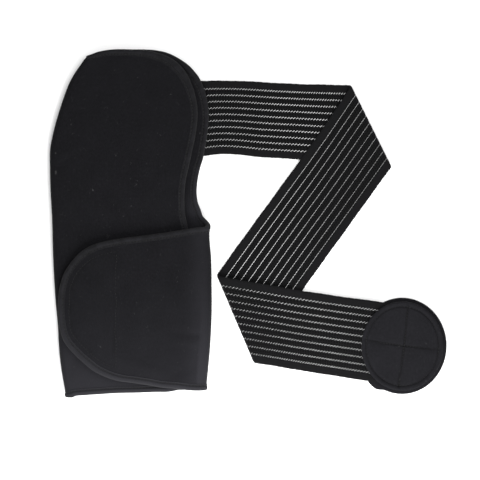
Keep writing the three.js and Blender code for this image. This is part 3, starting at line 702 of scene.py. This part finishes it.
tape_path = edge_path[3:-1]
path_walk = walked(tape_path[:, :2])
pucker = 0.00012 * (1 - np.cos(2 * math.pi * path_walk / stitch_pitch))
rings = []
for d, h in tape_section:
    s, y = (tape_path[:, :2] + tape_path[:, 2:] * d).T
    pull = pucker * bell(d - stitch_in, 0.0011) * (abs(h) > leg_under)
    rings.append(off_sheet(s, y, math.copysign(1, h) * (abs(h) - pull)))
rings = np.stack(rings, axis=1)

# Both ends run on past the cap's seam
end_before, end_after, end_steps = 0.002, 0.005, 5
tape_rings = np.concatenate([carried_on(rings[::-1], end_before, end_steps)[::-1], rings,
                             carried_on(rings, end_after, end_steps)])
tape_walk = np.concatenate([np.linspace(0, end_before, end_steps + 1)[:-1], path_walk + end_before,
                            path_walk[-1] + end_before + np.linspace(0, end_after, end_steps + 1)[1:]])
vertices, faces = sweep(tape_rings)
tape_across = np.array([d for d, _ in tape_section])
# Painted shade in the tape's stitched channel
tape_painted_shade = np.tile(bell(tape_across - stitch_in, 0.0006), len(tape_walk))
middle_x, middle_y, _ = tape_rings.mean(axis=1).T
# Painted light: the tape is painted paler towards the hem and at the armpit
tape_painted_light = 0.8 * hem_painted_light(middle_y) + 0.8 * corner_painted_light(middle_x, middle_y, 0.44, 0.04, 0.06)
binding = make_piece("edge_tape", vertices, facing_out(vertices, faces), flat_places(tape_walk, tape_across),
                     tape_painted_shade, np.repeat(tape_painted_light, len(tape_section)))


def tape_finish():
    """Knitted tape: ribs across it, painted shade in the stitched channel, lighter on its folded outer edge,
    and painted paler towards the hem and at the armpit.
    """
    tape = Finish("edge_tape_knit", Sheen_Weight=0.02, Sheen_Roughness=0.5, Specular_IOR_Level=0.08)
    spot = tape.place()
    across = tape.node("ShaderNodeSeparateXYZ", {}, {0: spot}, output=1)
    # Lighter along the tape's folded outer edge
    outer_edge = tape.within(across, 0.0016, 0.0002)
    patchy = tape.grain(spot, 160.0, 3.0, 0.6)
    fresh = tape.blend(tape.within(patchy, 0.35, 0.65), grey(15, cool_black), grey(24, cool_black))
    # Painted light: paler towards the hem and at the armpit
    tone = tape.blend(tape.painted("painted_light"), fresh, grey(36, cool_black))
    edge_lightened = tape.blend(outer_edge * 0.3, tone, grey(36))
    # Painted shade in the stitched channel
    tape.link(tape.blend(tape.painted("painted_shade") * 0.4, edge_lightened, grey(8)), "Base Color")
    tape.link(tape.within(patchy, 0.3, 0.7, 0.8, 0.95), "Roughness")
    rib = tape.wave("X", spot, 330.0, 0.8)
    tape.bump(rib * 0.00009, tape.grain(spot, 1600.0, 2.0, 0.6) * 0.00008)
    return tape.material


binding.data.materials.append(tape_finish())
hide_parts("edge_binding")


# Seam threads: black polyester sewing thread, lockstitched. Each stitch lies in its own small dent,
# 3 mm from the next, on both faces of the tape and round the hook patch on the flap.
def point_at(at, walk, rows):
    """Place at a walked distance along a line of points."""
    return np.stack([np.interp(at, walk, rows[:, k]) for k in range(3)], axis=-1)


def joined(parts):
    vertices, faces = [], []
    for more, these in parts:
        faces += [[len(vertices) + k for k in face] for face in these]
        vertices += list(more)
    return np.array(vertices), faces


def stitch_row(line, normals, pitch, length, radius):
    """Vertices and faces of thread stitches laid along a line of points."""
    walk = walked(line)
    angles = np.radians([[0], [60], [120], [180], [240], [300]])
    shape = [(0.5, 0.25), (0.36, 0.85), (0.0, 1.0), (-0.36, 0.85), (-0.5, 0.25)]
    stitches = []
    for k in range(int(walk[-1] / pitch)):
        rings = []
        for share, swell in shape:
            at = (k + 0.5) * pitch + share * length
            centre = point_at(at, walk, line)
            up = point_at(at, walk, normals)
            side = unit(np.cross(up, unit(point_at(at + 0.0004, walk, line) - centre)))
            lift = (np.sin(angles) * swell - (1 - swell)) * radius
            rings.append(centre + side * np.cos(angles) * radius * swell + up * lift)
        stitches.append(sweep(np.array(rings)))
    return joined(stitches)


def thread_finish(name, dark, light):
    """Twisted thread: light and dark turns along it, and painted light and shade kept with its points."""
    thread = Finish(name, Sheen_Weight=0.05, Specular_IOR_Level=0.2)
    spot = thread.place(flat=False)
    turns = thread.grain(spot, 900.0, 2.0, 0.6)
    # Painted light and shade from the points sets most of the thread's tone
    share = thread.within(turns, 0.35, 0.65) * 0.35 + thread.painted("painted_light") * 0.65
    thread.link(thread.blend(share, grey(dark), grey(light)), "Base Color")
    thread.link(thread.within(turns, 0.3, 0.7, 0.55, 0.8), "Roughness")
    thread.bump(turns * 0.00008)
    return thread.material


seam_rows = []
s, y = (tape_path[:, :2] + tape_path[:, 2:] * stitch_in).T
for face in (-1, 1):
    line = off_sheet(s, y, face * (leg_top - stitch_sunk))
    above = off_sheet(s, y, face * (leg_top - stitch_sunk + 0.001))
    seam_rows.append(stitch_row(line, (above - line) / 0.001, stitch_pitch, 0.0023, 0.00024))

# The row that holds the hook patch, seen on top of the flap
patch_seam = flowing(patch_run + patch_run[:1], 0.0015) * 0.96 + np.mean(patch_run, axis=0) * 0.04
seam_y = patch_seam[:, 1]
seam_x = patch_seam[:, 0] + 0.0005 * np.sin(seam_y / 0.007) + 0.0003 * np.sin(seam_y / 0.0031)
seam_z = flap_height(seam_x, seam_y) + crease_height(seam_x, seam_y) + patch_relief(seam_x, seam_y)
line = np.column_stack([seam_x, seam_y, seam_z + neoprene / 2])
seam_rows.append(stitch_row(line, 0 * line + [0, 0, 1], stitch_pitch, 0.0021, 0.00017))
vertices, faces = joined(seam_rows)
seam_thread = make_piece("seam_thread", vertices, faces, sharp=80)
seam_thread.data.materials.append(thread_finish("seam_thread_twist", 10, 26))


# Hook patch: a D-shaped patch of moulded nylon hooks, sewn under the free end of the flap. It grips
# the jersey of the front layer and holds the sleeve closed round the arm.
hook_patch_thickness = 0.0014
hook_patch_gap = 0.00045
patch_low = np.min(patch_run, axis=0) - 0.001
patch_high = np.max(patch_run, axis=0) + 0.001
under_flap = neoprene / 2 + hook_patch_gap + hook_patch_thickness / 2


def place_under_flap(x, y, h):
    return np.stack([x, y, flap_height(x, y) + crease_height(x, y) - under_flap + h], axis=-1)


vertices, faces, flat = cloth_solid(
    patch_run, np.linspace(patch_low[0], patch_high[0], 24), np.linspace(patch_low[1], patch_high[1], 60),
    place_under_flap, hook_patch_thickness)
patch = make_piece("hook_patch_tape", vertices, facing_out(vertices, faces), flat)
hook = Finish("hook_patch_nylon", Specular_IOR_Level=0.4)
pins = hook.node("ShaderNodeTexVoronoi", {"feature": "F1"}, {"Vector": hook.place(), "Scale": 900.0})
hook.link(hook.blend(hook.within(pins, 0.1, 0.5), grey(48), grey(20)), "Base Color")
hook.link(hook.within(pins, 0.1, 0.5, 0.4, 0.7), "Roughness")
hook.bump(hook.within(pins, 0.0, 0.5, 0.0003, 0.0))
patch.data.materials.append(hook.material)
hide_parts("hook_patch")


# Elastic strap: 75 mm knitted elastic with ten lines of white rubber thread, folded over twice where
# the strap is laid back on itself. It is sewn under the back layer and ends between the two pads.
fold_radius = 0.002
fold_steps = 16
run_pitch = 0.002
ripple = 0.001
disc_backing_thickness = 0.002

# Stations along each run: share of the length, share of the width left and right of the middle line,
# turn from the run's first line across it to its last, and rise
first_stations = np.array([
    (0, 0.48, 0.485, 0, 0), (0.09, 0.485, 0.475, 0, 0), (0.18, 0.49, 0.463, 0, 0),
    (0.235, 0.497, 0.437, 0, 0.45), (0.285, 0.5, 0.423, 0.03, 1), (0.365, 0.504, 0.426, 0.08, 1),
    (0.46, 0.502, 0.444, 0.16, 0.2), (0.55, 0.496, 0.452, 0.26, 0.8), (0.64, 0.493, 0.457, 0.38, 0.5),
    (0.74, 0.493, 0.468, 0.58, 0), (0.87, 0.497, 0.482, 0.82, 0), (1, 0.5, 0.5, 1, 0),
])
middle_stations = np.array([
    (0, 0.49, 0.505, 0, 1), (0.09, 0.485, 0.502, 0.09, 0.82), (0.19, 0.48, 0.498, 0.19, 0.54),
    (0.29, 0.48, 0.495, 0.29, 0.5), (0.37, 0.482, 0.492, 0.37, 0.4), (0.45, 0.487, 0.488, 0.45, 0.18),
    (0.54, 0.492, 0.485, 0.54, 0), (0.69, 0.5, 0.482, 0.69, 0), (0.85, 0.508, 0.485, 0.85, 0),
    (1, 0.512, 0.492, 1, 0),
])
last_stations = np.array([
    (0, 0.505, 0.5, 0, 1), (0.1, 0.5, 0.5, 0.14, 0.78), (0.23, 0.495, 0.502, 0.36, 0.5),
    (0.36, 0.49, 0.505, 0.58, 0.3), (0.49, 0.492, 0.505, 0.76, 0.1), (0.62, 0.496, 0.505, 0.9, 0),
    (0.75, 0.503, 0.504, 1, 0), (0.88, 0.508, 0.503, 1, 0), (1, 0.51, 0.5, 1, 0),
])


def cross(a, b):
    return a[..., 0] * b[..., 1] - a[..., 1] * b[..., 0]


def square_to(way):
    return np.array([-way[1], way[0]])


half_strap = strap_thickness / 2
turned = 2 * fold_radius
over_disc = disc_backing_thickness + strap_gap


def strap_run(table, start, way, length, line_from, line_to, low, climb):
    """Left and right edge points of one straight run of the strap."""
    t = np.linspace(0, 1, max(2, round(length / run_pitch)) + 1)
    to_left, to_right, turn, rise = (between(table[:, 0], table[:, k], t)[:, None] for k in range(1, 5))
    turn = np.clip(turn, 0, 1)
    across = unit(line_from * (1 - turn) + line_to * turn)
    span = strap_width / np.abs(cross(way, across))[:, None]
    centre = start + way * t[:, None] * length
    sides = (centre + across * span * to_left, centre - across * span * to_right)
    return [np.hstack([side, low + rise * climb]) for side in sides]


def strap_fold(before, after, out):
    """Left and right edge points round one fold, from the end of a run to the start of the next."""
    share = np.arange(1, fold_steps)[:, None] / fold_steps
    lift = half_strap + fold_radius * (1 - np.cos(math.pi * share))
    edges = []
    for side in range(2):
        middle = before[side][-1, :2] * (1 - share) + after[side][0, :2] * share
        edges.append(np.hstack([middle + out * fold_radius * np.sin(math.pi * share), lift]))
    return edges


def stop_short(way, line):
    """Length of a run that its fold takes up."""
    return (fold_radius + half_strap) / abs(cross(way, line))


line_one = -unit(strap_ways[0] + strap_ways[1])
line_two = -unit(strap_ways[1] + strap_ways[2])
run_ends = [square_to(strap_ways[0]), line_one, line_two, square_to(strap_ways[2])]
run_tables = [
    (first_stations, strap_start, half_strap, ripple),
    (middle_stations, crease_one, half_strap, turned),
    (last_stations, crease_two, half_strap + over_disc, turned - over_disc),
]
runs = []
for k, (table, corner, low, climb) in enumerate(run_tables):
    way = strap_ways[k]
    skip = stop_short(way, run_ends[k]) if k > 0 else 0
    left_off = stop_short(way, run_ends[k + 1]) if k < 2 else 0
    runs.append(strap_run(table, corner + way * skip, way, strap_runs[k] - skip - left_off,
                          run_ends[k], run_ends[k + 1], low, climb))
fold_one = strap_fold(runs[0], runs[1], -square_to(line_one))
fold_two = strap_fold(runs[1], runs[2], square_to(line_two))
strap_parts = (runs[0], fold_one, runs[1], fold_two, runs[2])
strap_left, strap_right = (np.vstack([part[side] for part in strap_parts]) for side in range(2))
strap_middle = (strap_left + strap_right) / 2
strap_walk = walked(strap_middle)
strap_up = unit(np.cross(np.gradient(strap_middle, strap_walk, axis=0), strap_left - strap_right))


def on_strap(along, across, height):
    """Point of the strap: along in metres, across from 0 at its right edge to 1, height off its middle."""
    left, right, up = (point_at(along, strap_walk, rows) for rows in (strap_left, strap_right, strap_up))
    across = np.asarray(across)[..., None]
    return right * (1 - across) + left * across + up * np.asarray(height)[..., None]


# Ten thread lines, 6.5 mm apart, leave a plain border of 8.25 mm on each side
thread_count = 10
thread_pitch = 0.0065
thread_places = 0.5 + (np.arange(thread_count) - (thread_count - 1) / 2) * thread_pitch / strap_width
strap_across = np.linspace(0, 1, 61)
strap_edge = np.minimum(strap_across, 1 - strap_across) * strap_width
dents = sum(bell((strap_across - place) * strap_width, 0.0011) for place in thread_places)
half_thick = half_strap * (1 - 0.28 * dents) * np.sqrt(np.clip(strap_edge / 0.0007, 0.15, 1))
section_across = np.concatenate([strap_across, strap_across[::-1]])
section_height = np.concatenate([half_thick, -half_thick[::-1]])

# The knitted edges are slightly scalloped, so the outer parts of the border swing in and out
ring_pitch = 0.0011
fold_places = strap_walk[np.gradient(strap_walk) < 0.0018]
ring_places = np.unique([*fold_places, *np.arange(0, strap_walk[-1], ring_pitch), strap_walk[-1]])
scallop = 0.00011 * (np.sin(ring_places / 0.00047) + 0.8 * np.sin(ring_places / 0.0013 + 1)
                     + np.sin(ring_places / 0.006))[:, None]
near_edge = np.sign(section_across - 0.5) * np.clip(np.abs(section_across - 0.5) * 2 - 0.8, 0, 1) * 5
swung = section_across + scallop / strap_width * near_edge
vertices, faces = sweep(on_strap(ring_places[:, None] + 0 * swung, swung, section_height + 0 * swung))
strap = make_piece("strap_elastic", vertices, facing_out(vertices, faces),
                   flat_places(ring_places, section_across * strap_width))


def elastic_finish():
    """Knitted elastic: rows of small dark cells between the threads, and smooth plain borders."""
    knit = Finish("strap_elastic_knit", Sheen_Weight=0.02, Sheen_Roughness=0.5, Specular_IOR_Level=0.06)
    spot = knit.place()
    across = knit.node("ShaderNodeSeparateXYZ", {}, {0: spot}, output=1)
    striped = knit.within(abs(across - strap_width / 2), 0.0315, 0.0295)
    cell_long = knit.wave("X", spot, 0.314 / 0.0026, 0.6)
    cell_wide = knit.wave("Y", spot, 0.314 / 0.00217, 0.6)
    cells = knit.within(cell_long * cell_wide, 0.12, 0.5) * striped
    cloudy = knit.within(knit.grain(spot, 260.0, 3.0, 0.7), 0.3, 0.7)
    border = knit.blend(cloudy, grey(11), grey(16, cool_black))
    ground = knit.blend(cloudy, grey(9), grey(14, cool_black))
    knitted = knit.blend(striped, border, ground)
    knit.link(knit.blend(cells, knitted, grey(3)), "Base Color")
    knit.link(knit.within(cloudy, 0.0, 1.0, 0.8, 0.95), "Roughness")
    rib = knit.wave("X", spot, 300.0, 0.5)
    fuzz = knit.grain(spot, 1500.0, 2.0, 0.7)
    knit.bump(rib * 0.0001 - cells * 0.0003, fuzz * 0.0001)
    return knit.material


strap.data.materials.append(elastic_finish())
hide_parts("elastic_strap")


# Rubber threads of the elastic: pale yarn that shows as a zigzag line on one face of the strap and as
# a thin straight line on the other. Each thread rises out of the knit and dips back into it.
thread_wave = 0.0028
thread_height = 0.0005
samples = np.arange(0.004, strap_walk[-1] - 0.004, thread_wave / 8)


def thread_lines(face, swing, half_width, sunk, rise, tones, lean):
    """Vertices, faces and painted light and shade of one thread along each line, on the face above or below.
    """
    tone = between(*np.transpose(tones), samples)
    lines, painted_light = [], []
    for place in thread_places:
        phase = 2 * math.pi * samples / thread_wave + 40 * place
        at = place + swing * (np.sin(phase) - 0.4 * np.sin(2 * phase)) / strap_width
        proud = 0.5 + 0.5 * np.cos(phase)
        low = half_strap * 0.8 - sunk + rise * proud
        wide = half_width * (0.75 + 0.25 * proud) / strap_width
        corners = ((-1, low), (-0.6, low + thread_height), (0.6, low + thread_height), (1, low))
        ring = np.stack([on_strap(samples, at + side * wide, face * high) for side, high in corners], axis=1)
        vertices, faces = sweep(ring)
        lines.append((vertices, facing_out(vertices, faces)))
        # Painted light and shade along the strap, leaning across it
        painted_light.append(np.repeat(np.clip(tone + lean * (place - 0.5), 0, 1), len(corners)))
    return *joined(lines), np.concatenate(painted_light)


# Painted light and shade of the threads at places along the strap, on the face above and on the face below
tones_above = [(0.0, 0.3), (0.06, 0.4), (0.125, 0.85), (0.18, 0.6), (0.42, 0.0), (0.5, 0.45), (0.56, 0.15)]
tones_below = [(0.19, 0.05), (0.28, 0.25), (0.36, 0.8), (0.42, 1.0)]
for name, *shape in (
    ("strap_threads_wavy", 1, 0.00062, 0.00033, 0.0004, 0.00028, tones_above, 0),
    ("strap_threads_straight", -1, 0.0001, 0.00028, 0.0005, 0.00015, tones_below, 0.4),
):
    vertices, faces, painted_light = thread_lines(*shape)
    threads = make_piece(name, vertices, faces, painted_light=painted_light, sharp=80)
    threads.data.materials.append(thread_finish(name + "_yarn", 80, 215))


# End pads: two rounds of laminated loop cloth sewn together over the end of the strap. The upper one
# has a raised rim from its rolled edge, a sewn ring and a sewn cross; the lower one carries the hooks.
disc_gap = 0.00035
disc_face_thickness = 0.0022
rim_width = 0.003
rim_height = 0.0005
cross_depth = 0.0009
ring_depth = 0.0008
face_low, face_high = np.array(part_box("end_disc_face"))[:, :2]
face_half = (face_high - face_low) / 2
backing_half = (backing_high - backing_low) / 2
pad_under = disc_backing_thickness + strap_gap + strap_thickness + disc_gap
pad_top = pad_under + disc_face_thickness
pad_sink = strap_thickness + strap_gap - 0.0001
round_steps = 120


def pad_drop(x):
    """How far the upper pad sinks where no strap lies under it."""
    return pad_sink * smooth_step(disc_place[0] + 0.3 * face_half[0], disc_place[0] + 0.92 * face_half[0], x)


def round_pad(profile, half, drop, tab=0.0):
    """Closed round pad turned from a profile of (share of the radius, height), with a small tab."""
    angles = np.linspace(0, 2 * math.pi, round_steps, endpoint=False)
    swell = 1 + tab * np.exp(-(((angles - tab_angle) / 0.2) ** 4))
    rings = []
    for share, height in profile:
        x = disc_place[0] + half[0] * share * np.cos(angles) * swell
        y = disc_place[1] + half[1] * share * np.sin(angles) * swell
        rings.append(np.stack([x, y, height - drop(x)], axis=1))
    return sweep(np.array(rings))


tab_angle = math.radians(231)
rim_share = rim_width / face_half[0]
ring_share = 1 - rim_share * 1.45
hub = 0.004
face_profile = [
    (hub, pad_under), (0.5, pad_under), (0.965, pad_under), (0.995, pad_under + 0.0006),
    (1.0, pad_under + 0.0013), (0.996, pad_top - 0.0001), (0.985, pad_top + 0.0003),
    (1 - rim_share * 0.5, pad_top + rim_height), (1 - rim_share * 0.8, pad_top + rim_height * 0.85),
    (1 - rim_share * 1.1, pad_top + 0.0001), (ring_share, pad_top - 0.0007),
    (ring_share - 0.012, pad_top - 0.0004), (1 - rim_share * 2.0, pad_top),
]
face_profile += [(share, pad_top) for share in (*np.linspace(1 - rim_share * 2.2, 0.04, 60), hub)]
vertices, faces = round_pad(face_profile, face_half, pad_drop)
off_ring = np.linalg.norm((vertices[:, :2] - disc_place) / face_half, axis=1) - ring_share
# Painted shade in the sewn ring's groove
pad_painted_shade = 0.35 * bell(off_ring, 0.014)

# Sewn cross: each line bends a little at the middle, as shares of the pad's half width and height
cross_lines = [
    [(0.13, 0.93), (0.04, 0.02), (-0.1, -0.92)],
    [(-0.92, 0.13), (-0.05, 0.02), (0.7, -0.06), (0.92, -0.08)],
]
cross_paths = [flowing(np.array(points) * face_half + disc_place, 0.0012) for points in cross_lines]
for path in cross_paths:
    dip = np.zeros(len(vertices))
    for a, b in zip(path[:-1], path[1:]):
        along = np.clip((vertices[:, :2] - a) @ (b - a) / np.sum((b - a) ** 2), 0, 1)
        off = np.linalg.norm(vertices[:, :2] - (a + (b - a) * along[:, None]), axis=1)
        dip = np.maximum(dip, 0.65 * bell(off, 0.0009) + 0.35 * bell(off, 0.0035))
    is_top = vertices[:, 2] > pad_under + 0.0008 - pad_drop(vertices[:, 0])
    vertices[:, 2] -= cross_depth * dip * is_top
    # Painted shade in the dips of the sewn cross
    pad_painted_shade = np.maximum(pad_painted_shade, 0.75 * dip**3)

pad_face = make_piece("end_pad_face", vertices, facing_out(vertices, faces), vertices[:, :2], pad_painted_shade)
backing_profile = [
    (hub, 0.0), (0.5, 0.0), (0.965, 0.0), (0.99, 0.0004), (1.0, 0.0009), (0.995, 0.0016),
    *((share, disc_backing_thickness) for share in (0.97, 0.9, 0.5, hub)),
]
vertices, faces = round_pad(backing_profile, backing_half, lambda x: 0 * x, tab=0.075)
pad_backing = make_piece("end_pad_backing", vertices, facing_out(vertices, faces), vertices[:, :2])
pad_face.data.materials.append(jersey_finish("end_pad_jersey", 17, 26, 0.5))
pad_backing.data.materials.append(jersey_finish("end_pad_backing_cloth", 17, 25, 0.4))
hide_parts("end_disc_face")
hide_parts("end_disc_backing")
pad_size, backing_size = (tuple(map(float, 2 * half)) for half in (face_half, backing_half))
math.pi / 4 * pad_size[0] * pad_size[1]
math.pi / 4 * backing_size[0] * backing_size[1]

pad_stitches = []
angles = np.linspace(0, 2 * math.pi, 240)
ring_line = disc_place + face_half * ring_share * np.stack([np.cos(angles), np.sin(angles)], axis=1)
for path, sunk in ((ring_line, ring_depth), *((path, cross_depth) for path in cross_paths)):
    line = np.column_stack([path, pad_top - sunk - pad_drop(path[:, 0])])
    pad_stitches.append(stitch_row(line, 0 * line + [0, 0, 1], 0.0028, 0.0021, 0.0002))
vertices, faces = joined(pad_stitches)
pad_thread = make_piece("end_pad_thread", vertices, faces, sharp=80)
pad_thread.data.materials.append(thread_finish("end_pad_thread_twist", 14, 30))


# Floor, light and camera: a white floor in soft light from in front and above, seen from straight above
# with the photograph's framing.
bpy.ops.mesh.primitive_plane_add(size=8, location=(0, 0, -0.0003))
floor = bpy.context.object
floor.name = "floor"
paper = Finish("floor_paper", Roughness=0.9, Specular_IOR_Level=0.1)
shade = paper.grain(paper.place(flat=False), 3.0, 2.0, 0.5)
paper.link(paper.blend(shade, (0.9, 0.9, 0.9, 1), (0.92, 0.92, 0.92, 1)), "Base Color")
floor.data.materials.append(paper.material)

world = bpy.data.worlds.new("studio")
world.use_nodes = True
world.node_tree.nodes["Background"].inputs["Color"].default_value = (1, 1, 1, 1)
world.node_tree.nodes["Background"].inputs["Strength"].default_value = 0.8
bpy.context.scene.world = world


def soft_light(name, place, size, power):
    light = bpy.data.lights.new(name, "AREA")
    light.shape = "DISK"
    light.size = size
    light.energy = power
    lamp = bpy.data.objects.new(name, light)
    bpy.context.scene.collection.objects.link(lamp)
    lamp.location = place
    x, y, z = place
    lamp.rotation_euler = (math.atan2(math.hypot(x, y), z), 0, math.atan2(x, -y))


soft_light("key_light", (0.0, -0.5, 0.32), 0.45, 7)
soft_light("fill_light", (0.35, 0.4, 0.9), 0.8, 7)

photo_scale = 0.000945
frame_pixels = 480
view_centre = (-0.0080, -0.0159)
camera_height = 2.0
eye = bpy.data.cameras.new("photo_camera")
eye.angle = 2 * math.atan(photo_scale * frame_pixels / 2 / camera_height)
eye.clip_end = 20
camera = bpy.data.objects.new("photo_camera", eye)
camera.location = (*view_centre, camera_height)
bpy.context.scene.collection.objects.link(camera)
bpy.context.scene.camera = camera
bpy.context.scene.view_settings.view_transform = "Standard"
